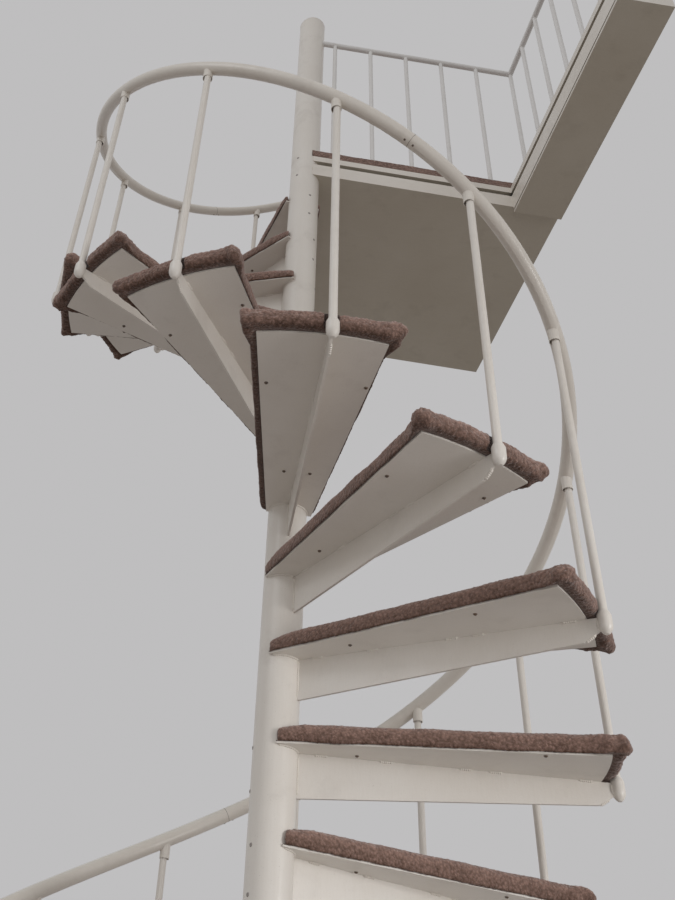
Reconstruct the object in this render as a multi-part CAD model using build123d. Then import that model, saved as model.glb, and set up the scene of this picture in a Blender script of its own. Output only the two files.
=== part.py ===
from build123d import *
import math
import os

os.makedirs("parts", exist_ok=True)

# Spiral staircase. Millimetres, +Z up, origin under the middle of the base plate.
# +X runs along the first side of the landing, and the treads climb clockwise seen from above.

# Flight
rise = 210.0                # height from one tread to the next
tread_count = 15
tread_turn = 28.2           # degrees clockwise from one tread to the next
first_bearing = 131.9       # degrees from +X, the direction of the lowest tread

# Centre column
column_od = 101.6
column_top = 4254.0
cap_height = 42.0
base_od = 260.0
base_thickness = 12.0
base_bolt_circle = 200.0
base_bolt_hole = 14.0
base_bolt_count = 4

# Treads: a steel plate, one tapered web under its middle line, and a socket for the baluster
plate_thickness = 5.0
plate_inset = 34.0          # how far the plate's outer edge stays inside the handrail's centre
plate_reach = 690.0        # distance along the middle line at which the widths below are taken
rear_root = 57.0
rear_tip = 155.0
front_root = 62.0
front_tip = 126.0
web_thickness = 6.0
web_root_depth = 101.0
web_tip_depth = 50.0
web_tip_inset = 46.0        # where the web's end starts to slant, inside the handrail's centre
web_end_inset = 8.0         # where it runs into the socket
web_end_depth = 26.5
socket_od = 29.0
socket_offset = 0.5         # how far the socket's centre lies outside the baluster's
socket_stand = 12.5
socket_shoulder = 8.0       # height of the cone that narrows the socket to its mouth
socket_mouth_od = 22.6
socket_drop = 37.0
socket_nose = 20.0          # length of the rounded nose at the socket's lower end
socket_tip_od = 9.0
baluster_seat = 12.0        # depth of a baluster's foot below the plate's underside

# Carpeted covers
cover_thickness = 40.0
cover_over_rear = 7.0
cover_over_front = 6.0
cover_inset = 5.0           # how far a cover's outer edge stays inside the handrail's centre
cover_flare_inset = 100.0   # from here out the edges widen into the folded corners
cover_flare_rear = 18.0
cover_flare_front = 22.0
cover_corner = 18.0         # rounding of the four corners seen from above
cover_round = 16.0
cover_fit = 1.0
notch_depth = 11.0

# Balusters and handrail
baluster_od = 19.0
baluster_fit = 0.2
rail_radius = 740.0
rail_od = 38.0
rail_height = 812.0         # centre of the handrail above the underside of a tread plate
sleeve_od = 27.0
sleeve_id = 24.0
sleeve_length = 48.0
sleeve_open_depth = 18.0    # depth of the wide mouth at a sleeve's lower end
sleeve_inward = 1.6         # the baluster stands against the outer, downhill side of its sleeve
sleeve_uphill = 1.6
baluster_stop = 12.0        # how far below the handrail's centre a baluster ends
rail_start_count = 0.65     # places along the handrail, counted in treads
rail_joint_counts = [2.46, 8.46, 14.46]
rail_end_count = 15.8
post_count = 15.65

# Landing
landing_edge = 48.0         # how far the first side lies in front of the column's centre
landing_corner = 738.0      # where the second side starts
landing_width = 906.0
landing_depth = 830.0
landing_entry = 81.3        # degrees from +X, the side that the last tread reaches
landing_cover_thickness = 32.0
landing_trim = 27.0
landing_recess = 19.0
landing_recess_depth = 14.0
landing_fascia = 58.0
strip_drop = 28.0           # how much lower the second side's fascia reaches
strip_overrun = 60.0        # length of the second side beyond the last bar
strip_cover_setback = 30.0  # carpet kept back from the second side's edge
strip_lip = 9.0             # rounded lip along the second side's lower edge
strip_lip_gap = 7.0

# Landing balustrade
guard_height = 755.0        # centre of the top rail above the landing
guard_rail_od = 22.0
guard_bar_od = 16.0
guard_line = 22.0           # how far the first run stands in front of the column's centre
guard_corner = 827.0
guard_first_pitch = 146.5
guard_second_pitch = 130.0
guard_first_bar_count = 6
guard_second_bar_count = 6

column_radius = column_od / 2
plate_radius = rail_radius - plate_inset
web_tip_reach = rail_radius - web_tip_inset
web_end_reach = rail_radius - web_end_inset
cover_radius = rail_radius - cover_inset
cover_flare_reach = rail_radius - cover_flare_inset
cover_top_above_plate = plate_thickness + cover_thickness
landing_top = rise * (tread_count + 1)
rail_pitch = rise * 360.0 / tread_turn


def bearing(step):
    return first_bearing - (step - 1) * tread_turn


def plate_underside(step):
    return rise * step - cover_top_above_plate


def around(radius, step, height):
    angle = math.radians(bearing(step))
    return Location((radius * math.cos(angle), radius * math.sin(angle), height))


def on_tread(step):
    return Location((0, 0, plate_underside(step)), (0, 0, bearing(step)))


def save(shape, name):
    shape.label = name
    export_step(shape, "parts/" + name + ".step")


def upright(radius, height, bottom):
    return Pos(0, 0, bottom) * Cylinder(radius, height, align=(Align.CENTER, Align.CENTER, Align.MIN))


# Base plate and column

base = upright(base_od / 2, base_thickness, 0)
for bolt in range(base_bolt_count):
    hole = upright(base_bolt_hole / 2, base_thickness, 0)
    base -= Rot(0, 0, 45 + bolt * 360 / base_bolt_count) * Pos(base_bolt_circle / 2, 0, 0) * hole
save(base, "base_plate")

column = upright(column_radius, column_top - base_thickness, base_thickness)
save(column, "centre_column")

cap_sphere = (column_radius ** 2 + cap_height ** 2) / (2 * cap_height)
cap = Pos(0, 0, column_top + cap_height - cap_sphere) * Sphere(cap_sphere)
cap = cap & upright(column_radius, cap_height, column_top)
save(cap, "column_cap")


# Treads. In a tread's own frame +X points out from the column along the middle line,
# -Y is the rear edge, next to the tread above, and z = 0 is the plate's underside.

rear_slope = (rear_tip - rear_root) / plate_reach
front_slope = (front_tip - front_root) / plate_reach


def wedge(rear_extra, front_extra, radius, thickness, rear_flare=0, front_flare=0):
    far = radius * 1.1
    mid = cover_flare_reach
    outline = Polyline(
        (0, front_root + front_extra),
        (mid, front_root + front_extra + front_slope * mid),
        (far, front_root + front_extra + front_slope * far + front_flare),
        (far, -rear_root - rear_extra - rear_slope * far - rear_flare),
        (mid, -rear_root - rear_extra - rear_slope * mid),
        (0, -rear_root - rear_extra),
        close=True,
    )
    return extrude(make_face(outline) & Circle(radius).face(), thickness)


def make_socket():
    nose_top = socket_nose - socket_drop
    side = Polyline(
        (socket_tip_od / 2, -socket_drop),
        (0, -socket_drop),
        (0, socket_stand),
        (socket_mouth_od / 2, socket_stand),
        (socket_od / 2, socket_stand - socket_shoulder),
        (socket_od / 2, nose_top),
    )
    nose = TangentArc((socket_od / 2, nose_top), (socket_tip_od / 2, -socket_drop), tangent=(0, -1))
    return revolve(Plane.XZ * make_face(side + nose), Axis.Z)


def make_tread():
    plate = wedge(0, 0, plate_radius, plate_thickness)
    web_profile = make_face(Polyline(
        (0, 0),
        (rail_radius, 0),
        (rail_radius, -web_end_depth),
        (web_end_reach, -web_end_depth),
        (web_tip_reach, -web_tip_depth),
        (0, -web_root_depth),
        close=True,
    ))
    web = Pos(0, web_thickness / 2, 0) * extrude(Plane.XZ * web_profile, web_thickness)
    tread = plate + web + Pos(rail_radius + socket_offset, 0, 0) * make_socket()
    tread -= upright(column_radius, rise, -web_root_depth - 1)
    bore = upright(baluster_od / 2 + baluster_fit, rise, -baluster_seat)
    tread -= Pos(rail_radius, 0, 0) * bore
    return tread


def make_cover():
    cover = wedge(
        cover_over_rear, cover_over_front, cover_radius, cover_top_above_plate,
        cover_flare_rear, cover_flare_front,
    )
    corners = cover.edges().filter_by(Axis.Z).sort_by(Axis.X)
    cover = fillet(corners[:2] + corners[-2:], cover_corner)
    top_edges = cover.edges().group_by(Axis.Z)[-1]
    cover = fillet(top_edges, cover_round)
    cover -= wedge(cover_fit, cover_fit, plate_radius + cover_fit, plate_thickness)
    cover -= upright(column_radius + cover_fit, rise, -1)
    notch = Box(2 * notch_depth, socket_od + 2 * cover_fit, 2 * rise)
    cover -= Pos(cover_radius, 0, 0) * notch
    return cover


tread = make_tread()
cover = make_cover()
for step in range(1, tread_count + 1):
    save(on_tread(step) * tread, f"tread_{step:02d}")
    save(on_tread(step) * cover, f"tread_cover_{step:02d}")


# Handrail: a round tube on a left-handed helix, in sections, with a sleeve over each baluster

def rail_centre(step):
    return plate_underside(step) + rail_height


def rail_section(start, end):
    path = Helix(rail_pitch, (end - start) * rise, rail_radius, lefthand=True)
    ring = Plane(origin=path @ 0, z_dir=path % 0) * Circle(rail_od / 2)
    tube = sweep(ring, path=path, is_frenet=True)
    return Location((0, 0, rail_centre(start)), (0, 0, bearing(start))) * tube


def sleeve_place(step):
    uphill = math.degrees(sleeve_uphill / rail_radius) / tread_turn
    return around(rail_radius - sleeve_inward, step + uphill, 0)


def sleeve(step):
    top = rail_centre(step)
    return sleeve_place(step) * upright(sleeve_od / 2, sleeve_length, top - sleeve_length)


def sleeve_bores(step):
    low = rail_centre(step) - sleeve_length
    mouth = sleeve_place(step) * upright(sleeve_id / 2, sleeve_open_depth, low)
    height = sleeve_length - baluster_stop
    return mouth + around(rail_radius, step, 0) * upright(baluster_od / 2 + baluster_fit, height, low)


rail_marks = [rail_start_count] + rail_joint_counts + [rail_end_count]
baluster_steps = [float(step) for step in range(1, tread_count + 1)]
for index in range(len(rail_marks) - 1):
    start = rail_marks[index]
    end = rail_marks[index + 1]
    section = rail_section(start, end)
    held = [step for step in baluster_steps + [post_count] if start < step < end]
    for step in held:
        section += sleeve(step)
    for step in held:
        section -= sleeve_bores(step)
    if index == 0:
        section += around(rail_radius, start, rail_centre(start)) * Sphere(rail_od / 2)
    if index == len(rail_marks) - 2:
        section += around(rail_radius, end, rail_centre(end)) * Sphere(rail_od / 2)
    save(section, f"handrail_section_{index + 1}")

for index in range(len(rail_marks) - 1):
    group = []
    for step in baluster_steps:
        if rail_marks[index] < step < rail_marks[index + 1]:
            foot = plate_underside(step) - baluster_seat
            top = rail_centre(step) - baluster_stop
            group.append(around(rail_radius, step, 0) * upright(baluster_od / 2, top - foot, foot))
    if group:
        save(Compound(children=group), f"balusters_{index + 1}")

post_top = rail_centre(post_count) - baluster_stop
post = around(rail_radius, post_count, 0) * upright(baluster_od / 2, post_top - landing_top, landing_top)
save(post, "landing_post")


# Landing: a floor edge with a white trim, a shadow recess and a fascia, under a carpeted board

def landing_outline():
    entry = math.radians(landing_entry)
    return make_face(Polyline(
        (0, 0),
        (0, -landing_edge),
        (landing_width, -landing_edge),
        (landing_width, landing_depth),
        (landing_depth / math.tan(entry), landing_depth),
        close=True,
    ))


deck_thickness = landing_trim + landing_recess + landing_fascia
deck_top = landing_top - landing_cover_thickness
deck_bottom = deck_top - deck_thickness
recess_bottom = deck_bottom + landing_fascia

platform = Pos(0, 0, deck_bottom) * extrude(landing_outline(), deck_thickness)
groove = Box(
    2 * landing_corner, 2 * landing_recess_depth, landing_recess,
    align=(Align.CENTER, Align.CENTER, Align.MIN),
)
platform -= Pos(0, -landing_edge, recess_bottom) * groove
platform -= upright(column_radius, 2 * rise, deck_bottom - 1)
save(platform, "landing_platform")

strip_length = guard_line - landing_edge + guard_second_pitch * guard_second_bar_count + strip_overrun
strip_width = landing_width - landing_corner
strip_bottom = deck_bottom - strip_drop
strip = Pos(landing_corner, -landing_edge, strip_bottom) * Box(
    strip_width, strip_length, deck_thickness + strip_drop,
    align=(Align.MIN, Align.MAX, Align.MIN),
)
for height, depth, bottom in (
    (landing_recess, landing_recess_depth, recess_bottom),
    (strip_lip_gap, strip_lip_gap, strip_bottom + strip_lip),
):
    strip -= Pos(landing_corner, -landing_edge, bottom) * Box(
        2 * depth, 2 * strip_length, height,
        align=(Align.CENTER, Align.CENTER, Align.MIN),
    )
lip_edge = strip.edges().filter_by(Axis.Y).sort_by(Axis.Z)[:2].sort_by(Axis.X)[0]
strip = fillet(lip_edge, strip_lip / 2 - strip_lip / 20)
save(strip, "landing_strip")

landing_cover = Pos(0, 0, deck_top) * extrude(landing_outline(), landing_cover_thickness)
landing_cover -= upright(column_radius + cover_fit, 2 * rise, deck_top - 1)
save(landing_cover, "landing_cover")
strip_cover = Pos(landing_corner + strip_cover_setback, -landing_edge, deck_top) * Box(
    strip_width - strip_cover_setback, strip_length, landing_cover_thickness,
    align=(Align.MIN, Align.MAX, Align.MIN),
)
save(strip_cover, "landing_strip_cover")


# Landing balustrade: two straight runs that meet in a mitre

guard_z = landing_top + guard_height
mitre = Pos(guard_corner, -guard_line, guard_z) * Rot(0, 0, 45)
keep = Box(
    4 * landing_width, 4 * landing_width, 4 * guard_rail_od,
    align=(Align.CENTER, Align.MIN, Align.CENTER),
)
first_length = guard_corner + guard_rail_od
first_run = Pos(0, -guard_line, guard_z) * Rot(0, 90, 0) * upright(guard_rail_od / 2, first_length, 0)
first_run -= upright(column_radius, rise, guard_z - rise / 2)
first_run = first_run & (mitre * keep)
second_length = guard_second_pitch * guard_second_bar_count + guard_rail_od
second_start = Pos(guard_corner, -guard_line + guard_rail_od, guard_z)
second_run = second_start * Rot(90, 0, 0) * upright(guard_rail_od / 2, second_length + guard_rail_od, 0)
second_run -= mitre * keep
save(first_run, "guard_rail_1")
save(second_run, "guard_rail_2")

bar = upright(guard_bar_od / 2, guard_height, landing_top)
first_bars = []
for index in range(guard_first_bar_count):
    place = Pos(guard_corner - index * guard_first_pitch, -guard_line, 0)
    first_bars.append(place * bar - first_run - second_run)
second_bars = []
for index in range(1, guard_second_bar_count + 1):
    place = Pos(guard_corner, -guard_line - index * guard_second_pitch, 0)
    second_bars.append(place * bar - second_run)
save(Compound(children=first_bars), "guard_bars_1")
save(Compound(children=second_bars), "guard_bars_2")
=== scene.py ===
import bpy
import bmesh
import math
from mathutils import Matrix, Vector, noise


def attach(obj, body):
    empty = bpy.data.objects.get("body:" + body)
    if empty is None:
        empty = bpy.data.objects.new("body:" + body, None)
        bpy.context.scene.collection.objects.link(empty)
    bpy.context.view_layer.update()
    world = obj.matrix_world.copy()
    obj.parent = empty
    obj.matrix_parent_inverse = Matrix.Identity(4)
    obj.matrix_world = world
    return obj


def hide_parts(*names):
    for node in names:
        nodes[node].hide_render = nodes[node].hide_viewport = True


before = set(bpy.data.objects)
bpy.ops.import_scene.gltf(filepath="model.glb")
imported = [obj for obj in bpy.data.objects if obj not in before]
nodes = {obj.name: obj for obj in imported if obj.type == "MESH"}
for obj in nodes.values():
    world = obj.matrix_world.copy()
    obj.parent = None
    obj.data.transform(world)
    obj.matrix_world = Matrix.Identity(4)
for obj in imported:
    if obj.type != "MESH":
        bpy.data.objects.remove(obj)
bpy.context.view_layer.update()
print("frame loaded:", len(nodes), "nodes")


def addObject(name, data):
    obj = bpy.data.objects.new(name, data)
    bpy.context.scene.collection.objects.link(obj)
    return obj


# Camera, below the flight and looking up into it
cameraSpec = {
    "place": (-0.36648, -2.21312, 0.41297),
    "turn": 1.3925,        # degrees clockwise from +Y
    "tilt": 39.8786,       # degrees above the horizon
    "roll": 8.1084,
    "lens": 39.51,
    "shift": (0.1659, -0.0823),
}


def makeCamera(spec):
    turn, tilt, roll = (math.radians(spec[key]) for key in ("turn", "tilt", "roll"))
    ahead = Vector((math.sin(turn) * math.cos(tilt), math.cos(turn) * math.cos(tilt), math.sin(tilt)))
    right = Vector((math.cos(turn), -math.sin(turn), 0))
    up = right.cross(ahead)
    camX = right * math.cos(roll) + up * math.sin(roll)
    camY = up * math.cos(roll) - right * math.sin(roll)
    data = bpy.data.cameras.new("stairCamera")
    data.sensor_fit = "AUTO"
    data.sensor_width = 36
    data.lens = spec["lens"]
    data.shift_x, data.shift_y = spec["shift"]
    data.clip_start = 0.05
    data.clip_end = 100
    camera = addObject("stairCamera", data)
    turned = Matrix((camX, camY, -ahead)).transposed().to_4x4()
    camera.matrix_world = Matrix.Translation(spec["place"]) @ turned
    bpy.context.scene.camera = camera


makeCamera(cameraSpec)
print("camera placed")


# Shader helpers

def newGroup(name, inputs, outputs):
    group = bpy.data.node_groups.new(name, "ShaderNodeTree")
    for label, kind, value in inputs:
        socket = group.interface.new_socket(name=label, in_out="INPUT", socket_type=kind)
        socket.default_value = value
    for label, kind in outputs:
        group.interface.new_socket(name=label, in_out="OUTPUT", socket_type=kind)
    return group, group.nodes.new("NodeGroupInput"), group.nodes.new("NodeGroupOutput")


def feed(tree, node, settings):
    # a value goes on the socket, a socket is linked to it
    for key, value in settings.items():
        if isinstance(value, bpy.types.NodeSocket):
            tree.links.new(value, node.inputs[key])
        else:
            node.inputs[key].default_value = value
    return node


def noiseNode(tree, vector, scale, detail=2.0, rough=0.5):
    node = tree.nodes.new("ShaderNodeTexNoise")
    feed(tree, node, {"Vector": vector, "Scale": scale, "Detail": detail, "Roughness": rough})
    return node.outputs["Fac"]


def spread(tree, value, low, high, start=0.0, end=1.0):
    node = tree.nodes.new("ShaderNodeMapRange")
    feed(tree, node, {"Value": value, "From Min": low, "From Max": high, "To Min": start, "To Max": end})
    return node.outputs["Result"]


def sums(tree, kind, first, second):
    node = tree.nodes.new("ShaderNodeMath")
    node.operation = kind
    feed(tree, node, {0: first, 1: second})
    return node.outputs[0]


def vectorSums(tree, kind, *values):
    node = tree.nodes.new("ShaderNodeVectorMath")
    node.operation = kind
    feed(tree, node, dict(enumerate(values)))
    return node.outputs["Value" if kind == "DOT_PRODUCT" else "Vector"]


def blendColour(tree, factor, first, second, kind="MIX"):
    node = tree.nodes.new("ShaderNodeMix")
    node.data_type = "RGBA"
    node.blend_type = kind
    feed(tree, node, {"Factor": factor, 6: first, 7: second})
    return node.outputs[2]


def objectCoords(tree):
    return tree.nodes.new("ShaderNodeTexCoord").outputs["Object"]


def makePaintFilm():
    # hand-brushed gloss paint: colour patches, brush drag, specks of dirt
    group, start, end = newGroup("paintFilm", [
        ("Paint", "NodeSocketColor", (0.8, 0.8, 0.8, 1)),
        ("Aged", "NodeSocketColor", (0.7, 0.65, 0.55, 1)),
        ("Dirt", "NodeSocketColor", (0.2, 0.16, 0.12, 1)),
        ("Aging", "NodeSocketFloat", 0.5),
        ("Dirtiness", "NodeSocketFloat", 0.3),
        ("Drag", "NodeSocketVector", (20, 20, 4)),
    ], [("Color", "NodeSocketColor"), ("Roughness", "NodeSocketFloat"), ("Height", "NodeSocketFloat")])
    coords = objectCoords(group)
    patches = spread(group, noiseNode(group, coords, 3.1, 4, 0.6), 0.35, 0.7)
    dragged = vectorSums(group, "MULTIPLY", coords, start.outputs["Drag"])
    brush = noiseNode(group, dragged, 9.0, 3, 0.55)
    peel = noiseNode(group, coords, 240, 2, 0.5)
    soft = noiseNode(group, coords, 26, 3, 0.5)
    smudge = spread(group, noiseNode(group, coords, 11, 6, 0.62), 0.56, 0.78)
    specks = spread(group, noiseNode(group, coords, 520, 1, 0.4), 0.73, 0.78)
    aged = sums(group, "MULTIPLY", sums(group, "ADD", patches, spread(group, brush, 0.3, 0.8, 0, 0.45)),
                start.outputs["Aging"])
    colour = blendColour(group, aged, start.outputs["Paint"], start.outputs["Aged"])
    dirt = sums(group, "MULTIPLY", sums(group, "ADD", sums(group, "MULTIPLY", smudge, 0.45), specks),
                start.outputs["Dirtiness"])
    colour = blendColour(group, dirt, colour, start.outputs["Dirt"])
    group.links.new(colour, end.inputs["Color"])
    rough = sums(group, "ADD", spread(group, soft, 0.3, 0.7, 0.3, 0.42), sums(group, "MULTIPLY", dirt, 0.5))
    group.links.new(rough, end.inputs["Roughness"])
    strokes = sums(group, "ADD", sums(group, "MULTIPLY", brush, 0.45), sums(group, "MULTIPLY", soft, 0.7))
    height = sums(group, "ADD", sums(group, "MULTIPLY", peel, 0.3), strokes)
    group.links.new(height, end.inputs["Height"])
    return group


def makeEdgeWear():
    # rounded-edge normal against the flat one gives a thin mask on sharp edges
    group, start, end = newGroup("edgeWear", [
        ("Width", "NodeSocketFloat", 0.002),
        ("Breakup", "NodeSocketFloat", 60.0),
    ], [("Mask", "NodeSocketFloat")])
    bevel = group.nodes.new("ShaderNodeBevel")
    bevel.samples = 4
    feed(group, bevel, {"Radius": start.outputs["Width"]})
    flat = group.nodes.new("ShaderNodeNewGeometry")
    alike = vectorSums(group, "DOT_PRODUCT", bevel.outputs["Normal"], flat.outputs["Normal"])
    edge = spread(group, alike, 0.97, 0.8)
    patches = noiseNode(group, objectCoords(group), start.outputs["Breakup"], 4, 0.6)
    mask = sums(group, "MULTIPLY", edge, spread(group, patches, 0.42, 0.6))
    group.links.new(mask, end.inputs["Mask"])
    return group


def makeCutPile():
    # tufts of two yarns, with painted shade underneath and between the tufts, soiled along cut edges, and
    # pale on the nosings from wear and a painted highlight
    group, start, end = newGroup("cutPile", [
        ("Light Yarn", "NodeSocketColor", (0.4, 0.3, 0.25, 1)),
        ("Dark Yarn", "NodeSocketColor", (0.15, 0.1, 0.08, 1)),
        ("Soil And Shade", "NodeSocketColor", (0.05, 0.035, 0.025, 1)),
        ("Tufts", "NodeSocketFloat", 170.0),
        ("Lay", "NodeSocketVector", (1, 1, 0.38)),
        ("Wear And Highlight", "NodeSocketFloat", 0.0),
        ("Cut", "NodeSocketFloat", 0.0),
        ("Under", "NodeSocketFloat", 0.0),
    ], [("Color", "NodeSocketColor"), ("Height", "NodeSocketFloat")])
    coords = objectCoords(group)
    laid = vectorSums(group, "MULTIPLY", coords, start.outputs["Lay"])
    grain = group.nodes.new("ShaderNodeTexNoise")
    feed(group, grain, {"Vector": laid, "Scale": 190.0, "Detail": 2.0})
    uneven = vectorSums(group, "MULTIPLY_ADD", grain.outputs["Color"], (0.005, 0.005, 0.005), laid)
    cell = group.nodes.new("ShaderNodeTexVoronoi")
    cell.feature = "SMOOTH_F1"
    feed(group, cell, {"Vector": uneven, "Scale": start.outputs["Tufts"]})
    strands = noiseNode(group, laid, 900, 2, 0.6)
    flecks = spread(group, noiseNode(group, coords, 230, 3, 0.7), 0.36, 0.64)
    tufts = spread(group, cell.outputs["Color"], 0.2, 0.8)
    tracks = spread(group, noiseNode(group, coords, 13, 4, 0.6), 0.3, 0.72)
    speckle = sums(group, "ADD", sums(group, "MULTIPLY", flecks, 0.36), sums(group, "MULTIPLY", tufts, 0.3))
    mixed = sums(group, "ADD", speckle, sums(group, "MULTIPLY", tracks, 0.18))
    # paler along the edges: wear and a painted highlight
    mixed = sums(group, "ADD", mixed, sums(group, "MULTIPLY", start.outputs["Wear And Highlight"], 0.35))
    # painted shade: the yarn darkens down the side and underneath
    mixed = sums(group, "SUBTRACT", mixed, sums(group, "MULTIPLY", start.outputs["Under"], 0.4))
    colour = blendColour(group, mixed, start.outputs["Dark Yarn"], start.outputs["Light Yarn"])
    # painted shade between the tufts, with the soil on the cut edges
    between = spread(group, cell.outputs["Distance"], 0.3, 0.75, 0, 0.4)
    shade = sums(group, "ADD", between, sums(group, "MULTIPLY", start.outputs["Cut"], 0.85))
    clampNode = group.nodes.new("ShaderNodeClamp")
    feed(group, clampNode, {"Value": shade})
    colour = blendColour(group, clampNode.outputs[0], colour, start.outputs["Soil And Shade"])
    group.links.new(colour, end.inputs["Color"])
    height = sums(group, "SUBTRACT", sums(group, "MULTIPLY", strands, 0.4), cell.outputs["Distance"])
    group.links.new(height, end.inputs["Height"])
    return group


def makeShadowGap():
    # mask of a level groove behind a front face, which is painted dark as shade
    group, start, end = newGroup("shadowGap", [
        ("Low", "NodeSocketFloat", 0.0),
        ("High", "NodeSocketFloat", 1.0),
        ("Side", "NodeSocketFloat", 1.0),
        ("Front", "NodeSocketFloat", 0.0),
    ], [("Mask", "NodeSocketFloat")])
    parts = group.nodes.new("ShaderNodeSeparateXYZ")
    feed(group, parts, {"Vector": objectCoords(group)})
    above = sums(group, "GREATER_THAN", parts.outputs["Z"], start.outputs["Low"])
    below = sums(group, "LESS_THAN", parts.outputs["Z"], start.outputs["High"])
    beside = sums(group, "LESS_THAN", parts.outputs["X"], start.outputs["Side"])
    before = sums(group, "LESS_THAN", parts.outputs["Y"], start.outputs["Front"])
    level = sums(group, "MULTIPLY", above, below)
    mask = sums(group, "MULTIPLY", level, sums(group, "MULTIPLY", beside, before))
    group.links.new(mask, end.inputs["Mask"])
    return group


groups = {
    "paintFilm": makePaintFilm(), "edgeWear": makeEdgeWear(),
    "cutPile": makeCutPile(), "shadowGap": makeShadowGap(),
}


def newMaterial(name):
    mat = bpy.data.materials.new(name)
    mat.use_nodes = True
    return mat, mat.node_tree, mat.node_tree.nodes["Principled BSDF"]


def place(mat, name, settings):
    node = mat.node_tree.nodes.new("ShaderNodeGroup")
    node.node_tree = groups[name]
    return feed(mat.node_tree, node, settings)


def bumped(tree, shader, height, distance, strength):
    bump = tree.nodes.new("ShaderNodeBump")
    feed(tree, bump, {"Height": height, "Distance": distance, "Strength": strength})
    tree.links.new(bump.outputs["Normal"], shader.inputs["Normal"])


def paintMaterial(name, spec):
    mat, tree, shader = newMaterial(name)
    film = place(mat, "paintFilm", {
        "Paint": (*spec["paint"], 1), "Aged": (*spec["aged"], 1), "Dirt": (*spec["dirt"], 1),
        "Aging": spec["aging"], "Dirtiness": spec["dirtiness"], "Drag": spec["drag"],
    })
    colour = film.outputs["Color"]
    if spec["wear"] > 0:
        wear = place(mat, "edgeWear", {"Width": spec["wearWidth"], "Breakup": 55.0})
        bare = sums(tree, "MULTIPLY", wear.outputs["Mask"], spec["wear"])
        colour = blendColour(tree, bare, colour, (*spec["under"], 1))
    # the grooves are painted near black as shade
    for low, high, side, front in spec.get("gaps", ()):
        gap = place(mat, "shadowGap", {"Low": low, "High": high, "Side": side, "Front": front})
        colour = blendColour(tree, gap.outputs["Mask"], colour, (*spec["gapShadeColour"], 1))
    if "undersideShade" in spec:
        # faces turned downward are multiplied darker: painted shade on the underside
        parts = tree.nodes.new("ShaderNodeSeparateXYZ")
        feed(tree, parts, {"Vector": tree.nodes.new("ShaderNodeNewGeometry").outputs["Normal"]})
        facing = sums(tree, "MULTIPLY", sums(tree, "LESS_THAN", parts.outputs["Z"], -0.7), 0.9)
        colour = blendColour(tree, facing, colour, (*spec["undersideShade"], 1), "MULTIPLY")
    feed(tree, shader, {
        "Base Color": colour, "Roughness": film.outputs["Roughness"], "Specular IOR Level": 0.5,
        "Coat Weight": spec["coat"], "Coat Roughness": 0.2,
    })
    bumped(tree, shader, film.outputs["Height"], spec["bump"], 0.6)
    return mat


steelPaint = {
    "paint": (0.785, 0.75, 0.7), "aged": (0.67, 0.615, 0.545), "dirt": (0.25, 0.2, 0.16),
    "under": (0.42, 0.38, 0.35), "aging": 0.42, "dirtiness": 0.3, "drag": (30, 30, 5),
    "wear": 0.45, "wearWidth": 0.0018, "coat": 0.12, "bump": 0.0007,
}
columnPaint = dict(steelPaint, aging=0.34, dirtiness=0.42, drag=(26, 26, 1.5), wear=0.0)
railPaint = dict(steelPaint, paint=(0.76, 0.72, 0.66), aging=0.5, drag=(9, 9, 9), wear=0.25)
guardPaint = dict(steelPaint, paint=(0.78, 0.77, 0.76), aged=(0.66, 0.64, 0.62), wear=0.15)
beadPaint = dict(steelPaint, paint=(0.76, 0.72, 0.66), dirtiness=0.55, wear=0.0, bump=0.0004)
# the column screws' dark grey is painted shade; the real heads carry the steel's paint
screwShadePaint = dict(steelPaint, paint=(0.34, 0.31, 0.285), aged=(0.2, 0.17, 0.15), dirtiness=0.6, wear=0.0)
timberPaint = {
    "paint": (0.78, 0.74, 0.685), "aged": (0.65, 0.595, 0.52), "dirt": (0.2, 0.15, 0.11),
    "under": (0.5, 0.42, 0.33), "aging": 0.45, "dirtiness": 0.35, "drag": (3, 30, 30),
    "wear": 0.5, "wearWidth": 0.003, "coat": 0.05, "bump": 0.0009,
    # grooves painted dark as shade: lowest and highest point, and how far right and back they lie
    "gaps": ((3.2822, 3.3008, 0.757, -0.0335), (3.2052, 3.2118, 0.7455, -0.048)),
    # painted shade: near black in the grooves and darker on the underside
    "gapShadeColour": (0.025, 0.022, 0.02), "undersideShade": (0.62, 0.59, 0.52),
}
steel = paintMaterial("brushedPaint", steelPaint)
columnFinish = paintMaterial("columnPaint", columnPaint)
railFinish = paintMaterial("railPaint", railPaint)
guardFinish = paintMaterial("guardPaint", guardPaint)
beadFinish = paintMaterial("beadPaint", beadPaint)
paintedScrew = paintMaterial("screwShadePaint", screwShadePaint)
timber = paintMaterial("timberPaint", timberPaint)


carpetLook = {
    # the soil colour also paints the shade between the tufts
    "light": (0.43, 0.275, 0.225), "dark": (0.085, 0.045, 0.029), "soilAndShade": (0.03, 0.017, 0.011),
    "tufts": 175.0, "lay": (1, 1, 0.9), "sheen": 0.6, "bump": 0.004,
}


def carpetMaterial(name, look):
    mat, tree, shader = newMaterial(name)
    marks = {}
    for key in ("wearAndHighlight", "cut", "under"):
        node = tree.nodes.new("ShaderNodeAttribute")
        node.attribute_name = key
        marks[key] = node.outputs["Fac"]
    pile = place(mat, "cutPile", {
        "Light Yarn": (*look["light"], 1), "Dark Yarn": (*look["dark"], 1), "Soil And Shade": (*look["soilAndShade"], 1),
        "Tufts": look["tufts"], "Lay": look["lay"],
        "Wear And Highlight": marks["wearAndHighlight"], "Cut": marks["cut"], "Under": marks["under"],
    })
    feed(tree, shader, {
        "Base Color": pile.outputs["Color"], "Roughness": 0.95, "Specular IOR Level": 0.15,
        "Sheen Weight": look["sheen"], "Sheen Roughness": 0.5, "Sheen Tint": (0.8, 0.7, 0.68, 1),
    })
    bumped(tree, shader, pile.outputs["Height"], look["bump"], 0.8)
    return mat


carpet = carpetMaterial("cutPileCarpet", carpetLook)


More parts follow.
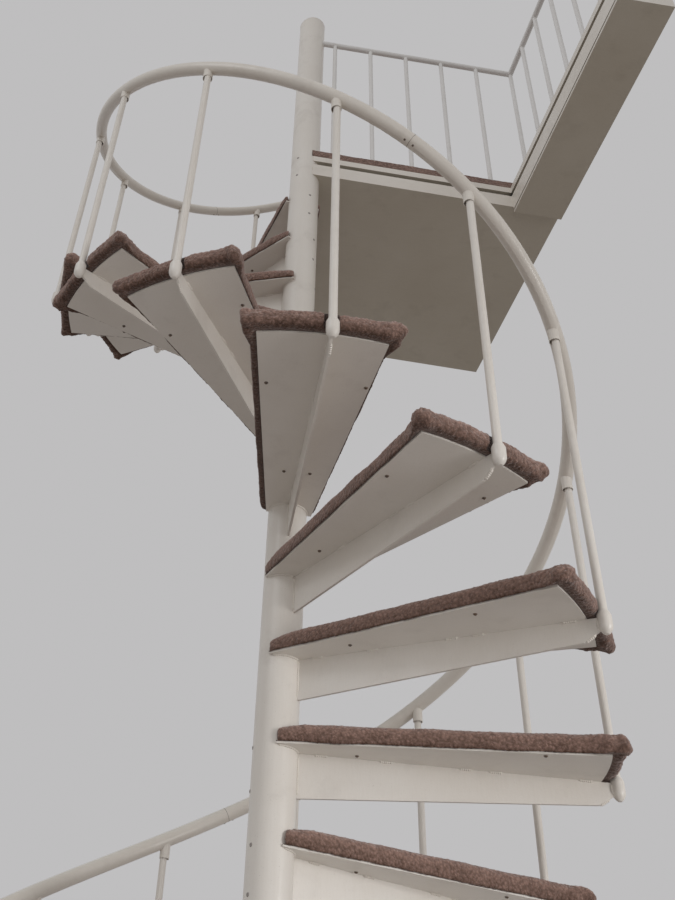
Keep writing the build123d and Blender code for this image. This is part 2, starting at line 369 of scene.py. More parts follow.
def screwMaterial():
    mat, tree, shader = newMaterial("screwSteel")
    coords = objectCoords(tree)
    stain = spread(tree, noiseNode(tree, coords, 160, 4, 0.65), 0.35, 0.7)
    feed(tree, shader, {
        "Base Color": blendColour(tree, stain, (0.1, 0.09, 0.085, 1), (0.19, 0.12, 0.075, 1)),
        "Roughness": spread(tree, stain, 0, 1, 0.38, 0.7),
        "Metallic": spread(tree, stain, 0, 1, 0.85, 0.25),
    })
    bumped(tree, shader, noiseNode(tree, coords, 400, 2, 0.5), 0.0003, 0.5)
    return mat


screwSteel = screwMaterial()

finishes = [
    ("tread_cover", carpet), ("landing_cover", carpet), ("landing_strip_cover", carpet),
    ("tread_", steel), ("base_plate", steel), ("centre_column", columnFinish), ("column_cap", columnFinish),
    ("handrail", railFinish), ("balusters", steel), ("landing_post", steel),
    ("guard", guardFinish), ("landing_platform", timber), ("landing_strip", timber),
]
for name, obj in nodes.items():
    finish = next(mat for start, mat in finishes if name.startswith(start))
    obj.data.materials.clear()
    obj.data.materials.append(finish)
print("finishes set")


# Stair layout, in metres, as the solids have it
stair = {
    "rise": 0.21,
    "count": 15,
    "turn": 28.2,
    "first": 131.9,
    "below": 0.045,        # plate underside below the tread's top
    "railRadius": 0.74,
    "railHeight": 0.812,
    "landing": 3.36,
    "columnSkin": 0.0507,  # just inside the column's surface
}


def bearing(step):
    return math.radians(stair["first"] - (step - 1) * stair["turn"])


def treadFrame(step):
    height = stair["rise"] * step - stair["below"]
    return Matrix.Translation((0, 0, height)) @ Matrix.Rotation(bearing(step), 4, "Z")


def smoothStep(low, high, value):
    share = max(0.0, min(1.0, (value - low) / (high - low)))
    return share * share * (3 - 2 * share)


def finishPiece(name, bm, mat, angle=40, attributes=None):
    mesh = bpy.data.meshes.new(name)
    bm.normal_update()
    bm.to_mesh(mesh)
    bm.free()
    for key, values in (attributes or {}).items():
        layer = mesh.attributes.new(key, "FLOAT", "POINT")
        layer.data.foreach_set("value", values)
    mesh.materials.append(mat)
    mesh.shade_smooth()
    if angle < 180:
        mesh.set_sharp_from_angle(angle=math.radians(angle))
    piece = addObject(name, mesh)
    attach(piece, "root")
    return piece


def nextRing(bm, rim):
    # pull the rim out once, and give back the new rim and its points
    made = bmesh.ops.extrude_edge_only(bm, edges=rim)
    rim = [item for item in made["geom"] if isinstance(item, bmesh.types.BMEdge)]
    return rim, {vert for edge in rim for vert in edge.verts}


# Carpeted boards on the treads: a board in thick pile, rolled over every edge and folded at the corners
boardSpec = {
    "frontRoot": 0.062, "frontTip": 0.126, "rearRoot": 0.057, "rearTip": 0.155, "reach": 0.69,
    "overFront": 0.006, "overRear": 0.007, "radius": 0.735,
    "flareFrom": 0.64, "flareFront": 0.022, "flareRear": 0.018, "far": 0.8085,
    "columnRadius": 0.0518, "plateRadius": 0.706, "plateGap": 0.0012,
    "top": 0.045, "roundTop": 0.016, "lip": 0.0026, "roundLow": 0.013, "lowArc": 0.016, "lowSide": 0.0038,
    "topRings": 5, "lowRings": 4, "recess": 0.0042, "plate": 0.0056,
    "notchHalf": 0.0155, "notchDepth": 0.011, "notchWall": 0.0005,
    "along": 58, "across": 30, "sideEdges": (0.007, 0.0045),
    "cornerReach": 0.08, "cornerSide": 0.8, "cornerBulge": 0.016, "cornerRise": 0.01,
    "endReach": 0.05, "endDroop": 0.009, "smoothFrom": 0.3, "smoothing": 6,
}
pileSpec = {
    # how far the pile's waves, tufts, strands, folds and sag go, and how close together they lie
    "wave": 0.0018, "waves": 14, "tuft": 0.0036, "tufts": 118, "strand": 0.0011, "strands": 330,
    "fold": 0.0095, "folds": 38, "sag": 0.004, "sags": 25,
    "flat": 0.42, "loose": 0.3, "looseSide": 0.25, "looseEnd": 0.55, "endReach": 0.12,
    # the band along the edges that is paler from wear and a painted highlight: its width and the heights over
    # which it comes in
    "paleEdgeWidth": 0.03, "paleEdgeFrom": 0.012, "paleEdgeTo": 0.04,
    "cutAcross": 0.002, "cutAlong": 0.004,
    # shares of the way down at which the cut edge, the side, the sag and the shade underneath begin
    "cutFrom": 0.02, "sideBy": 0.15, "sagFrom": 0.3, "underFrom": 0.75,
}
boardQuirks = {
    # how single boards differ: wider at the rear, shorter at the column, fatter or thinner corners
    7: {"inner": 0.016, "front": 1.9, "rear": 0.8, "frontOver": 0.003},
    8: {"front": 1.1, "rear": 1.2},
    9: {"rearOver": 0.010, "front": 1.5, "rear": 1.2},
    10: {"front": 0.7, "rear": 1.1},
    11: {"front": 1.1, "rear": 1.9},
}
# how far down a point lies: 0 on top, rimShare at its edge, up to 1 round the side, undersideShare below
rimShare = 0.01
undersideShare = 2
hiddenFrom = 1.5    # past this a point is hidden by the plate and stays as it is


def edgeLines(spec, x, overFront, overRear, flared):
    slope = (spec["frontTip"] - spec["frontRoot"]) / spec["reach"]
    front = spec["frontRoot"] + overFront + slope * x
    slope = (spec["rearTip"] - spec["rearRoot"]) / spec["reach"]
    rear = -(spec["rearRoot"] + overRear + slope * x)
    if flared:
        share = max(0.0, (x - spec["flareFrom"]) / (spec["far"] - spec["flareFrom"]))
        front += spec["flareFront"] * share
        rear -= spec["flareRear"] * share
    return front, rear


def onBoard(spec, along, across, overFront, overRear, radius, flared=True):
    # a line across the board's middle at the same share, met with the column and the outer arc
    def at(x):
        front, rear = edgeLines(spec, x, overFront, overRear, flared)
        return rear + (front - rear) * across
    inner = 0.0
    outer = radius
    for _ in range(12):    # enough rounds for both ends to settle
        inner = math.sqrt(max(0.0, spec["columnRadius"] ** 2 - at(inner) ** 2))
        outer = math.sqrt(max(0.0, radius ** 2 - at(outer) ** 2))
    x = inner + (outer - inner) * along
    return x, at(x)


def boardRings(spec):
    # inset of the edge, share of the lower rounding and height of each ring, from the top down
    rings = []
    for part in range(1, spec["topRings"] + 1):
        turn = math.pi / 2 * part / spec["topRings"]
        rings.append((spec["roundTop"] * (1 - math.sin(turn)), 0.0,
                      spec["top"] - spec["roundTop"] * (1 - math.cos(turn))))
    low = spec["lip"] + spec["roundLow"]
    rings.append((0.0, 0.0, (rings[-1][2] + low) / 2))
    for part in range(spec["lowRings"] + 1):
        turn = math.pi / 2 * part / spec["lowRings"]
        rings.append((0.0, 1 - math.cos(turn), low - spec["roundLow"] * math.sin(turn)))
    return rings


def makeBoard(spec):
    bm = bmesh.new()
    bmesh.ops.create_grid(bm, x_segments=spec["along"], y_segments=spec["across"], size=0.5)
    shares = bm.verts.layers.float_vector.new("shares")
    front, rear = edgeLines(spec, spec["radius"], spec["overFront"], spec["overRear"], True)
    # pairs of grid lines close together stand on both sides of the notch's walls
    marks = [(rear, 0)]
    for side in (-1, 1):
        line = round((side * spec["notchHalf"] - rear) / (front - rear) * spec["across"])
        for edge in (-1, 1):
            wall = side * spec["notchHalf"] + edge * spec["notchWall"]
            marks.append((wall, line + (edge - 1) // 2 + (side > 0)))
    marks.append((front, spec["across"]))

    def acrossShare(line):
        for (low, first), (high, last) in zip(marks, marks[1:]):
            if first <= line <= last:
                spot = low + (high - low) * (line - first) / (last - first)
                return (spot - rear) / (front - rear)

    def put(vert, insetTop, lowShare, height):
        along, across = vert[shares].x, vert[shares].y
        side = insetTop + lowShare * spec["lowSide"]
        x, y = onBoard(spec, along, across, spec["overFront"] - side, spec["overRear"] - side,
                       spec["radius"] - insetTop - lowShare * spec["lowArc"])
        if along > 0.9 and abs(y) < spec["notchHalf"]:    # only at the outer end
            x = min(x, spec["radius"] - spec["notchDepth"])
        vert.co = (x, y, height)

    for vert in bm.verts:
        vert[shares] = ((vert.co.x + 0.5), acrossShare(round((vert.co.y + 0.5) * spec["across"])), 0)
        put(vert, spec["roundTop"], 0, spec["top"])
    rim = [edge for edge in bm.edges if edge.is_boundary]
    for vert in {vert for edge in rim for vert in edge.verts}:
        vert[shares].z = rimShare
    rings = boardRings(spec)
    for count, (insetTop, lowShare, height) in enumerate(rings, 1):
        rim, points = nextRing(bm, rim)
        for vert in points:
            put(vert, insetTop, lowShare, height)
            vert[shares].z = count / len(rings)
    # underside: in to the plate's edge, up beside it and across above it
    for height in (spec["recess"], spec["plate"]):
        rim, points = nextRing(bm, rim)
        for vert in points:
            along, across = vert[shares].x, vert[shares].y
            x, y = onBoard(spec, along, across, spec["plateGap"], spec["plateGap"],
                           spec["plateRadius"] + spec["plateGap"], False)
            vert.co = (x, y, height)
            vert[shares].z = undersideShare
    bmesh.ops.holes_fill(bm, edges=rim, sides=0)
    bmesh.ops.remove_doubles(bm, verts=bm.verts, dist=0.00005)
    bmesh.ops.recalc_face_normals(bm, faces=bm.faces)
    return bm


def boardPlace(spec, local):
    # distances to the front, the rear and the outer rim
    front, rear = edgeLines(spec, local.x, spec["overFront"], spec["overRear"], True)
    return front - local.y, local.y - rear, spec["radius"] - math.hypot(local.x, local.y)


def cornerShares(spec, local):
    toFront, toRear, toRim = boardPlace(spec, local)
    outer = smoothStep(spec["cornerReach"], 0.0, toRim)
    reach = spec["cornerReach"] * spec["cornerSide"]
    return outer * smoothStep(reach, 0.0, toFront), outer * smoothStep(reach, 0.0, toRear)


def shapeBoard(bm, step, spec):
    # fat folded corners, rounded ends beside the column and the quirks of single boards
    shares = bm.verts.layers.float_vector["shares"]
    quirks = boardQuirks.get(step, {})
    luck = [noise.noise(Vector((step * 7.3, part * 3.7, 0.5))) for part in range(2)]
    front = spec["cornerBulge"] * quirks.get("front", 1 + luck[0])
    rear = spec["cornerBulge"] * quirks.get("rear", 1 + luck[1])
    rounded = []
    for vert in bm.verts:
        if vert[shares].z > hiddenFrom:
            continue
        local = vert.co.copy()
        frontShare, rearShare = cornerShares(spec, local)
        vert.co.y -= quirks.get("rearOver", 0.0) * (1 - vert[shares].y) ** 3
        vert.co.y += quirks.get("frontOver", 0.0) * vert[shares].y ** 3
        vert.co.y += front * frontShare - rear * rearShare
        vert.co.x += spec["cornerRise"] * max(frontShare, rearShare)
        beside = abs(local.y) > spec["columnRadius"] * 0.8 and local.x < spec["endReach"]
        if beside:
            nearEnd = smoothStep(spec["endReach"], 0.0, local.x)
            if local.y > 0:
                vert.co.x += quirks.get("inner", 0.0) * nearEnd
            vert.co.z -= spec["endDroop"] * nearEnd * smoothStep(0.02, spec["top"], local.z)
        if max(frontShare, rearShare) > spec["smoothFrom"] or beside:
            rounded.append(vert)
    for _ in range(spec["smoothing"]):
        bmesh.ops.smooth_vert(bm, verts=rounded, factor=0.5,
                              use_axis_x=True, use_axis_y=True, use_axis_z=True)


def refineSides(bm, longest):
    # finer faces on the sides and round the edges, where the pile is seen against the light
    shares = bm.verts.layers.float_vector["shares"]
    edges = [edge for edge in bm.edges if edge.calc_length() > longest
             and all(rimShare / 2 < vert[shares].z < hiddenFrom for vert in edge.verts)]
    bmesh.ops.subdivide_edges(bm, edges=edges, cuts=1, use_grid_fill=True)


def coverTread(step, base, spec, pile):
    bm = base.copy()
    shapeBoard(bm, step, spec)
    for longest in spec["sideEdges"]:
        refineSides(bm, longest)
    bm.normal_update()
    shares = bm.verts.layers.float_vector["shares"]
    matrix = treadFrame(step)
    wearAndHighlight, cut, under = [], [], []
    normals = [vert.normal.copy() for vert in bm.verts]
    for vert, normal in zip(bm.verts, normals):
        local = vert.co.copy()
        toFront, toRear, toRim = boardPlace(spec, local)
        corner = max(cornerShares(spec, local))
        spot = matrix @ local
        ring = vert[shares].z
        inNotch = (abs(local.y) < spec["notchHalf"] + pile["cutAcross"]
                   and toRim < spec["notchDepth"] + pile["cutAlong"] and ring > pile["cutFrom"])
        cut.append(1.0 if inNotch and abs(normal.z) < 0.8 and toRim > 0.001 else 0.0)
        # paler along the edges: wear and a painted highlight
        wearAndHighlight.append(smoothStep(pile["paleEdgeWidth"], 0.0, min(toFront, toRear, toRim))
                    * smoothStep(pile["paleEdgeFrom"], pile["paleEdgeTo"], local.z))
        # painted shade down the side and underneath, less at the corners
        under.append(smoothStep(pile["underFrom"], 1.0, ring) * (1.0 - 0.5 * corner))
        if ring > hiddenFrom or inNotch:
            continue
        side = smoothStep(0.0, pile["sideBy"], ring)
        wave = noise.noise(spot * pile["waves"]) * pile["wave"] * (0.5 + side)
        clump = pile["flat"] - noise.voronoi(spot * pile["tufts"])[0][0]
        # rougher down the side and towards the outer end
        loose = (pile["loose"] + pile["looseSide"] * side
                 + pile["looseEnd"] * smoothStep(pile["endReach"], 0.0, toRim))
        tuft = clump * pile["tuft"] * loose + noise.noise(spot * pile["strands"]) * pile["strand"]
        fold = (corner * side * pile["fold"]
                * noise.noise(spot * pile["folds"] + Vector((step * 3.1, 0, 0))))
        vert.co += normal * (wave + tuft + fold)
        sag = pile["sag"] * (1 + noise.noise(spot * pile["sags"]))
        vert.co.z -= corner * smoothStep(pile["sagFrom"], 1.0, ring) * sag
    bmesh.ops.transform(bm, matrix=matrix, verts=bm.verts)
    bmesh.ops.triangulate(bm, faces=[face for face in bm.faces if len(face.verts) > 4])
    piece = finishPiece(f"carpetedTread{step:02d}", bm, carpet, 180,
                        {"wearAndHighlight": wearAndHighlight, "cut": cut, "under": under})
    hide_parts(f"tread_cover_{step:02d}")
    return piece


boardBase = makeBoard(boardSpec)
for step in range(1, stair["count"] + 1):
    board = coverTread(step, boardBase, boardSpec, pileSpec)
boardBase.free()
print("carpeted treads made, faces in each:", len(board.data.polygons))


# Carpet on the landing
landingSpec = {
    "edge": 0.048, "corner": 0.738, "width": 0.906, "depth": 0.83, "entry": 81.3,
    "thickness": 0.032, "columnRadius": 0.0518, "round": 0.01,
    "stripSetback": 0.03, "stripLength": 0.814,
    "cell": 0.014, "rings": 4, "split": (0.007, 0.03), "wearAndHighlight": 0.2,
    "wave": 0.0014, "waves": 15, "pile": 0.0009, "clumps": 190, "strands": 400,
}


def padSheet(name, node, low, high, spec, cutSlant):
    bm = bmesh.new()
    alongX = round((high[0] - low[0]) / spec["cell"])
    alongY = round((high[1] - low[1]) / spec["cell"])
    bmesh.ops.create_grid(bm, x_segments=alongX, y_segments=alongY, size=0.5)
    bmesh.ops.scale(bm, vec=(high[0] - low[0], high[1] - low[1], 1), verts=bm.verts)
    middle = Vector(((low[0] + high[0]) / 2, (low[1] + high[1]) / 2, stair["landing"]))
    bmesh.ops.translate(bm, vec=middle, verts=bm.verts)
    if cutSlant:
        entry = math.radians(spec["entry"])
        bmesh.ops.bisect_plane(bm, geom=bm.verts[:] + bm.edges[:] + bm.faces[:], plane_co=(0, 0, 0),
                               plane_no=(-math.sin(entry), math.cos(entry), 0), clear_outer=True)
        inside = [face for face in bm.faces
                  if max(vert.co.xy.length for vert in face.verts) < spec["columnRadius"] + 0.002]
        bmesh.ops.delete(bm, geom=inside, context="FACES")
        for vert in bm.verts:
            reach = vert.co.xy.length
            if 0 < reach < spec["columnRadius"]:
                vert.co.xy *= spec["columnRadius"] / reach
        bmesh.ops.remove_doubles(bm, verts=bm.verts, dist=0.0008)
    rim = [edge for edge in bm.edges if edge.is_boundary]
    for ring in range(1, spec["rings"] + 1):
        rim, points = nextRing(bm, rim)
        for vert in points:
            vert.co.z = stair["landing"] - spec["thickness"] * ring / spec["rings"]
    bmesh.ops.holes_fill(bm, edges=rim, sides=0)
    bm.normal_update()
    arris = [edge for edge in bm.edges if len(edge.link_faces) == 2 and edge.calc_face_angle(0) > 1.2
             and min(vert.co.z for vert in edge.verts) > stair["landing"] - 0.001]
    bmesh.ops.bevel(bm, geom=arris, offset=spec["round"], affect="EDGES", segments=3,
                    profile=0.5, material=-1, clamp_overlap=True)
    bmesh.ops.remove_doubles(bm, verts=bm.verts, dist=0.00005)
    bmesh.ops.recalc_face_normals(bm, faces=bm.faces)
    shortest, longest = spec["split"]
    edges = [edge for edge in bm.edges if shortest < edge.calc_length() < longest]
    bmesh.ops.subdivide_edges(bm, edges=edges, cuts=1, use_grid_fill=True)
    bm.normal_update()
    normals = [vert.normal.copy() for vert in bm.verts]
    for vert, normal in zip(bm.verts, normals):
        if normal.z < -0.5 or vert.co.z < stair["landing"] - spec["thickness"] + 0.001:
            continue
        wave = noise.noise(vert.co * spec["waves"]) * spec["wave"]
        clump = noise.noise(vert.co * spec["clumps"]) * spec["pile"]
        strand = noise.noise(vert.co * spec["strands"]) * spec["pile"] * 0.5
        vert.co += normal * (wave + clump + strand)
    bmesh.ops.triangulate(bm, faces=[face for face in bm.faces if len(face.verts) > 4])
    count = len(bm.verts)
    piece = finishPiece(name, bm, carpet, 180,
                        {"wearAndHighlight": [spec["wearAndHighlight"]] * count, "cut": [0.0] * count, "under": [0.0] * count})
    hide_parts(node)


front = -landingSpec["edge"]
padSheet("landingCarpet", "landing_cover",
         (0, front), (landingSpec["width"], landingSpec["depth"]), landingSpec, True)
padSheet("stripCarpet", "landing_strip_cover",
         (landingSpec["corner"] + landingSpec["stripSetback"], front - landingSpec["stripLength"]),
         (landingSpec["width"], front), landingSpec, False)
print("landing carpet made")


# Screws: dark pan heads with a recess under the plates, painted-over heads on the column
screwSpec = {
    "radius": 0.0048, "height": 0.0026, "sides": 12, "crown": 0.62, "rim": 0.24, "sink": 0.55, "seat": 0.0002,
    "plateSpots": ((0.195, -0.03), (0.2, 0.033), (0.53, -0.11), (0.573, 0.101)), "scatter": 0.012,
    "columnUp": (0.002, -0.093), "columnHead": 0.0047, "columnHeight": 0.0014, "columnTurn": 8.0,
    "landingTurn": -132.5, "landingUp": (3.219, 3.316),
}
strayScrews = {
    # tread: spots that differ
    5: {0: (0.205, -0.013)},
    6: {0: (0.18, -0.022), 2: (0.562, -0.124)},
    7: {0: (0.198, -0.04), 2: (0.504, -0.095)},
    8: {3: (0.598, 0.098)},
    9: {3: (0.549, 0.105)},
}


def addScrew(bm, matrix, radius, height, sides):
    made = bmesh.ops.create_cone(bm, cap_ends=True, segments=sides, depth=height,
                                 radius1=radius, radius2=radius * screwSpec["crown"],
                                 matrix=matrix @ Matrix.Translation((0, 0, height / 2)))
    normal = (matrix.to_3x3() @ Vector((0, 0, 1))).normalized()
    bm.normal_update()
    top = [face for vert in made["verts"] for face in vert.link_faces
           if len(face.verts) > 4 and face.normal.dot(normal) > 0.9][:1]
    bmesh.ops.inset_individual(bm, faces=top, thickness=radius * screwSpec["rim"], depth=0)
    sunk = list({vert for face in top for vert in face.verts})
    bmesh.ops.translate(bm, vec=-normal * height * screwSpec["sink"], verts=sunk)


bm = bmesh.new()
for step in range(1, stair["count"] + 1):
    for index, (x, y) in enumerate(screwSpec["plateSpots"]):
        x += screwSpec["scatter"] * noise.noise(Vector((step * 5.1, index * 9.7, 0.3)))
        y += screwSpec["scatter"] * noise.noise(Vector((step * 5.1, index * 9.7, 7.3)))
        x, y = strayScrews.get(step, {}).get(index, (x, y))
        seat = Matrix.Translation((x, y, screwSpec["seat"]))
        spot = treadFrame(step) @ seat @ Matrix.Rotation(math.pi, 4, "X")
        addScrew(bm, spot, screwSpec["radius"], screwSpec["height"], screwSpec["sides"])
finishPiece("plateScrews", bm, screwSteel)

# the column's screws sit opposite each tread, painted over with the steel; their darker grey is painted shade
behind = Matrix.Rotation(math.pi + math.radians(screwSpec["columnTurn"]), 4, "Z")
spots = [(treadFrame(step) @ behind, up)
         for step in range(1, stair["count"] + 1) for up in screwSpec["columnUp"]]
landingSide = Matrix.Rotation(math.radians(screwSpec["landingTurn"]), 4, "Z")
spots += [(landingSide, up) for up in screwSpec["landingUp"]]
bm = bmesh.new()
for facing, up in spots:
    spot = facing @ Matrix.Translation((stair["columnSkin"], 0, up)) @ Matrix.Rotation(math.pi / 2, 4, "Y")
    addScrew(bm, spot, screwSpec["columnHead"], screwSpec["columnHeight"], screwSpec["sides"])
finishPiece("columnScrews", bm, paintedScrew)
print("screws made")


# Weld beads: rings bridged along a line, swollen like drops of filler
beadSpec = {
    "pitch": 0.0045, "segments": 8,
    "webRadius": 0.0036, "webSide": 0.0032, "webUp": -0.0004,
    "webStations": (0.1, 0.24, 0.42, 0.475, 0.671), "webLength": 0.03, "webScatter": 0.012,
    "arcRadius": 0.0034, "arcReach": 0.0512, "arcUp": -0.0006, "arcs": ((-84, -6), (6, 84)),
    # radius, how far to the side of the web's middle, and the points that the bead follows
    "column": (0.0034, 0.0034, ((0.0512, -0.004), (0.0512, -0.05), (0.0512, -0.09))),
    "socket": (0.0032, 0.0036, ((0.7264, -0.003), (0.7264, -0.017), (0.7288, -0.0262))),
    "tip": (0.0036, 0.0008, ((0.697, -0.0492), (0.708, -0.0423), (0.719, -0.0354))),
    "footRadius": 0.0065, "footReach": 0.0525, "footUp": 0.0132, "footPitch": 0.007,
}


def finishOutward(name, bm, mat):
    bmesh.ops.recalc_face_normals(bm, faces=bm.faces)
    finishPiece(name, bm, mat)


def aimed(direction):
    return direction.to_track_quat("Z", "Y").to_matrix().to_4x4()


def addBead(bm, points, radius, pitch, closed=False):
    # points are led through with even stations
    lengths = [0.0]
    for first, second in zip(points, points[1:]):
        lengths.append(lengths[-1] + (second - first).length)
    count = max(4, round(lengths[-1] / pitch) * 2)
    loops = []
    for index in range(count + (0 if closed else 1)):
        reach = lengths[-1] * index / count
        part = max(i for i in range(len(lengths)) if lengths[i] <= reach + 1e-9)
        part = min(part, len(points) - 2)
        share = (reach - lengths[part]) / (lengths[part + 1] - lengths[part])
        spot = points[part].lerp(points[part + 1], share)
        ahead = (points[part + 1] - points[part]).normalized()
        # thicker at every second station, uneven, and drawn in at open ends
        swell = 0.86 + 0.14 * math.cos(math.pi * index) + 0.22 * noise.noise(spot * 90)
        if not closed and index in (0, count):
            swell *= 0.35
        made = bmesh.ops.create_circle(bm, segments=beadSpec["segments"], radius=radius * swell,
                                       matrix=Matrix.Translation(spot) @ aimed(ahead))
        loops.append(list({edge for vert in made["verts"] for edge in vert.link_edges}))
    for first, second in zip(loops, loops[1:] + (loops[:1] if closed else [])):
        bmesh.ops.bridge_loops(bm, edges=first + second)
    if not closed:
        for loop in (loops[0], loops[-1]):
            bmesh.ops.holes_fill(bm, edges=loop, sides=0)


def arcPoints(matrix, radius, start, end, height, count=16):
    points = []
    for index in range(count + 1):
        angle = math.radians(start + (end - start) * index / count)
        points.append(matrix @ Vector((radius * math.cos(angle), radius * math.sin(angle), height)))
    return points


def addRing(bm, matrix, reach, height, radius, pitch, count=48):
    addBead(bm, arcPoints(matrix, reach, 0, 360, height, count), radius, pitch, True)


def addWeld(bm, matrix, side, radius, aside, line):
    points = [matrix @ Vector((x, side * aside, z)) for x, z in line]
    addBead(bm, points, radius, beadSpec["pitch"])


bm = bmesh.new()
for step in range(1, stair["count"] + 1):
    turned = treadFrame(step)
    for x in beadSpec["webStations"]:
        for side in (-1, 1):
            shift = beadSpec["webScatter"] * noise.noise(Vector((step * 1.7, x * 31, side)))
            line = [(x + shift + part * beadSpec["webLength"] / 2, beadSpec["webUp"]) for part in (-1, 0, 1)]
            addWeld(bm, turned, side, beadSpec["webRadius"], beadSpec["webSide"], line)
finishOutward("webWelds", bm, beadFinish)

bm = bmesh.new()
for step in range(1, stair["count"] + 1):
    turned = treadFrame(step)
    for start, end in beadSpec["arcs"]:
        arc = arcPoints(turned, beadSpec["arcReach"], start, end, beadSpec["arcUp"])
        addBead(bm, arc, beadSpec["arcRadius"], beadSpec["pitch"])
    for side in (-1, 1):
        addWeld(bm, turned, side, *beadSpec["column"])
        addWeld(bm, turned, side, *beadSpec["socket"])
    # one heavy stroke over the web's slanted end
    addWeld(bm, turned, 1, *beadSpec["tip"])
finishOutward("jointWelds", bm, beadFinish)

bm = bmesh.new()
addRing(bm, Matrix.Identity(4), beadSpec["footReach"], beadSpec["footUp"],
        beadSpec["footRadius"], beadSpec["footPitch"])
finishOutward("footWeld", bm, beadFinish)
print("weld beads made")


# Floor anchors: stud, nut and washer at each bolt hole
anchorSpec = {
    "circle": 0.1, "plate": 0.012, "count": 4, "first": 45, "twist": 0.4,
    # radius, lowest and highest point above the plate, sides, softened edge
    "washer": (0.013, 0.0, 0.0025, 24, 0.0006),
    "nut": (0.0105, 0.0025, 0.0125, 6, 0.0012),
    "stud": (0.006, -0.011, 0.022, 16, 0.0012),
}


def addDrum(bm, matrix, radius, low, high, sides, soften):
    middle = matrix @ Matrix.Translation((0, 0, (low + high) / 2))
    made = bmesh.ops.create_cone(bm, cap_ends=True, segments=sides, radius1=radius, radius2=radius,
                                 depth=high - low, matrix=middle)
    rims = [edge for edge in {edge for vert in made["verts"] for edge in vert.link_edges}
            if any(len(face.verts) > 4 for face in edge.link_faces)]
    bmesh.ops.bevel(bm, geom=rims, offset=soften, affect="EDGES", segments=2, profile=0.5, material=-1)


bm = bmesh.new()
for index in range(anchorSpec["count"]):
    around = math.radians(anchorSpec["first"] + 360 / anchorSpec["count"] * index)
    spot = Matrix.Rotation(around, 4, "Z") @ Matrix.Translation((anchorSpec["circle"], 0, 0))
    spot = spot @ Matrix.Rotation(anchorSpec["twist"] * index, 4, "Z")
    for key in ("washer", "nut", "stud"):
        radius, low, high, sides, soften = anchorSpec[key]
        addDrum(bm, spot, radius, anchorSpec["plate"] + low, anchorSpec["plate"] + high, sides, soften)
finishPiece("floorAnchors", bm, screwSteel)


# Handrail joints: a fine dark ring in the seam as painted shade, and two grub screws under the rail
jointSpec = {
    "steps": (2.46, 8.46, 14.46), "radius": 0.019, "seam": 0.0005, "seamPitch": 0.003,
    "treadLength": 0.425,  # rail from tread to tread
    "screw": 0.0034, "screwHeight": 0.0012, "screwSides": 10,
    "screwReach": 0.013, "screwSeat": 0.0004, "screwLean": 0.15,
}


def railPoint(step):
    angle = bearing(step)
    height = stair["rise"] * step - stair["below"] + stair["railHeight"]
    return Vector((stair["railRadius"] * math.cos(angle), stair["railRadius"] * math.sin(angle), height))


seams = bmesh.new()
grubs = bmesh.new()
for step in jointSpec["steps"]:
    ahead = (railPoint(step + 0.001) - railPoint(step - 0.001)).normalized()
    turned = Matrix.Translation(railPoint(step)) @ aimed(ahead)
    # a dark ring as painted shade in the seam's gap
    addRing(seams, turned, jointSpec["radius"], 0, jointSpec["seam"], jointSpec["seamPitch"])
    outward = Vector((railPoint(step).x, railPoint(step).y, 0)).normalized()
    for reach in (-jointSpec["screwReach"], jointSpec["screwReach"]):
        middle = railPoint(step + reach / jointSpec["treadLength"])
        down = Vector((0, 0, -1)) + outward * jointSpec["screwLean"]
        down = (down - ahead * down.dot(ahead)).normalized()
        spot = Matrix.Translation(middle + down * (jointSpec["radius"] - jointSpec["screwSeat"]))
        addScrew(grubs, spot @ aimed(down), jointSpec["screw"], jointSpec["screwHeight"],
                 jointSpec["screwSides"])
finishOutward("railSeamShade", seams, screwSteel)
finishPiece("railScrews", grubs, screwSteel)


# Collars at the feet of the landing's bars and post
collarSpec = {
    "barX": 0.827, "barY": -0.022, "firstPitch": 0.1465, "secondPitch": 0.13, "count": 6, "postStep": 15.65,
    "seat": 0.0002, "lip": 0.0015, "brim": 0.0012, "steps": 28,
    # hole, radius and height
    "bar": (0.008, 0.0165, 0.006), "post": (0.0095, 0.026, 0.007),
}


def addCollar(bm, x, y, hole, radius, height):
    # a short profile turned once round the bar
    centre = (x, y, stair["landing"] - collarSpec["seat"])
    profile = ((hole, height), (hole + collarSpec["lip"], height), (radius, collarSpec["brim"]), (radius, 0))
    verts = [bm.verts.new(Matrix.Translation(centre) @ Vector((reach, 0, up))) for reach, up in profile]
    edges = [bm.edges.new(pair) for pair in zip(verts, verts[1:])]
    bmesh.ops.spin(bm, geom=verts + edges, cent=centre, axis=(0, 0, 1), angle=2 * math.pi,
                   steps=collarSpec["steps"], use_merge=True)


bm = bmesh.new()
barX, barY = collarSpec["barX"], collarSpec["barY"]
for index in range(collarSpec["count"]):
    addCollar(bm, barX - index * collarSpec["firstPitch"], barY, *collarSpec["bar"])
for index in range(1, collarSpec["count"] + 1):
    addCollar(bm, barX, barY - index * collarSpec["secondPitch"], *collarSpec["bar"])
postAngle = bearing(collarSpec["postStep"])
addCollar(bm, stair["railRadius"] * math.cos(postAngle), stair["railRadius"] * math.sin(postAngle),
          *collarSpec["post"])
finishOutward("barCollars", bm, guardFinish)


# Seam round the column's cap
capSpec = {"up": 4.254, "seam": 0.0008, "seamPitch": 0.004, "points": 64}
bm = bmesh.new()
addRing(bm, Matrix.Identity(4), stair["columnSkin"], capSpec["up"], capSpec["seam"],
        capSpec["seamPitch"], capSpec["points"])
finishOutward("capSeam", bm, beadFinish)
print("small steel parts made")


# Pale studio: floor, even surroundings and three large soft lamps
stageSpec = {
    "floor": (0.93, 0.92, 0.91), "floorBounce": (0.49, 0.46, 0.445),
    "behind": (0.52, 0.515, 0.52), "around": (0.60, 0.59, 0.58), "strength": 0.83,
}


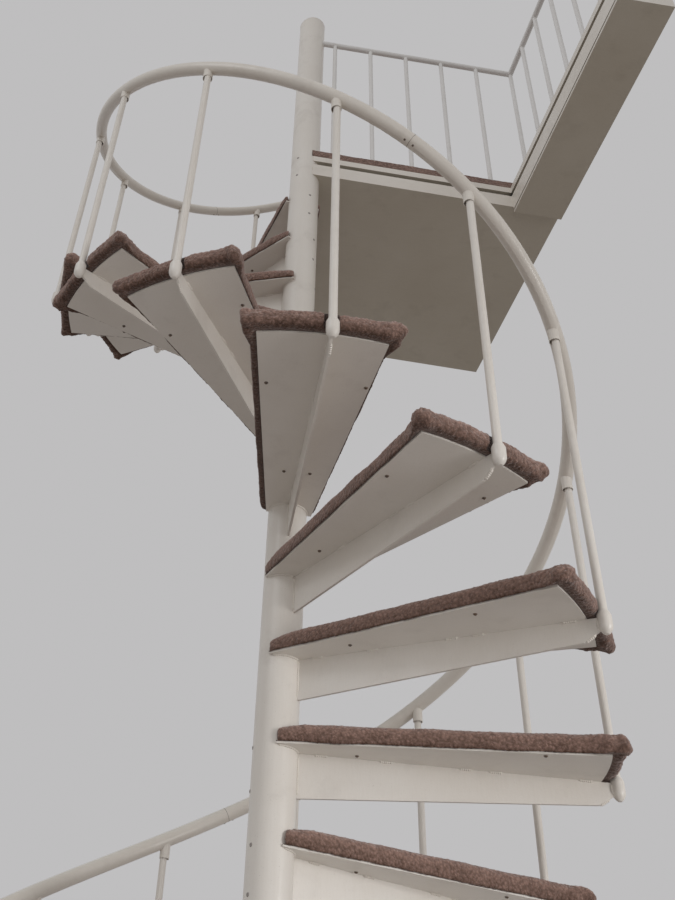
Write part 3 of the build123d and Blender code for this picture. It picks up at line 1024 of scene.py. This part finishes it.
def seenDirectly(tree):
    # camera, glossy and transmitted rays see the pale backdrop
    path = tree.nodes.new("ShaderNodeLightPath")
    glossy = sums(tree, "ADD", path.outputs["Is Camera Ray"], path.outputs["Is Glossy Ray"])
    return sums(tree, "MINIMUM", sums(tree, "ADD", glossy, path.outputs["Is Transmission Ray"]), 1.0)


def makeStage(spec):
    bm = bmesh.new()
    bmesh.ops.create_grid(bm, x_segments=1, y_segments=1, size=30)
    mesh = bpy.data.meshes.new("studioFloor")
    bm.to_mesh(mesh)
    bm.free()
    floor = addObject("studioFloor", mesh)
    mat, tree, shader = newMaterial("floorPaint")
    mottle = spread(tree, noiseNode(tree, objectCoords(tree), 1.3, 3, 0.5), 0.3, 0.7)
    shade = tuple(part * 0.96 for part in spec["floor"])
    pale = blendColour(tree, mottle, (*spec["floor"], 1), (*shade, 1))
    colour = blendColour(tree, seenDirectly(tree), (*spec["floorBounce"], 1), pale)
    feed(tree, shader, {"Base Color": colour, "Roughness": 0.85})
    mesh.materials.append(mat)


def makeWorld(spec):
    world = bpy.data.worlds.new("studio")
    world.use_nodes = True
    bpy.context.scene.world = world
    tree = world.node_tree
    light = tree.nodes["Background"]
    feed(tree, light, {"Color": (*spec["around"], 1), "Strength": spec["strength"]})
    seen = tree.nodes.new("ShaderNodeBackground")
    feed(tree, seen, {"Color": (*spec["behind"], 1), "Strength": 1.0})
    choose = tree.nodes.new("ShaderNodeMixShader")
    tree.links.new(seenDirectly(tree), choose.inputs[0])
    tree.links.new(light.outputs[0], choose.inputs[1])
    tree.links.new(seen.outputs[0], choose.inputs[2])
    tree.links.new(choose.outputs[0], tree.nodes["World Output"].inputs["Surface"])


lampSpec = {
    # place, target, size, power, fan in degrees, colour
    "windowLight": ((3.4, -3.4, 0.85), (0.1, -0.1, 0.95), 1.4, 8.5, 56, (1, 0.99, 0.985)),
    "frontLight": ((-0.4, -5.5, 1.7), (0, 0, 1.8), 3.0, 23, 180, (0.98, 0.98, 1)),
    "upperLight": ((-4.0, -3.2, 5.4), (0, 0, 3.4), 2.6, 46, 180, (0.93, 0.96, 1)),
}


def areaLamp(name, spot, target, size, power, fan, colour):
    data = bpy.data.lights.new(name, "AREA")
    data.size = size
    data.energy = power
    data.spread = math.radians(fan)
    data.color = colour
    lamp = addObject(name, data)
    lamp.location = spot
    lamp.rotation_mode = "QUATERNION"
    lamp.rotation_quaternion = (Vector(target) - Vector(spot)).to_track_quat("-Z", "Y")


makeStage(stageSpec)
makeWorld(stageSpec)
for name, values in lampSpec.items():
    areaLamp(name, *values)
bpy.context.scene.view_settings.view_transform = "Standard"
print("studio lit")
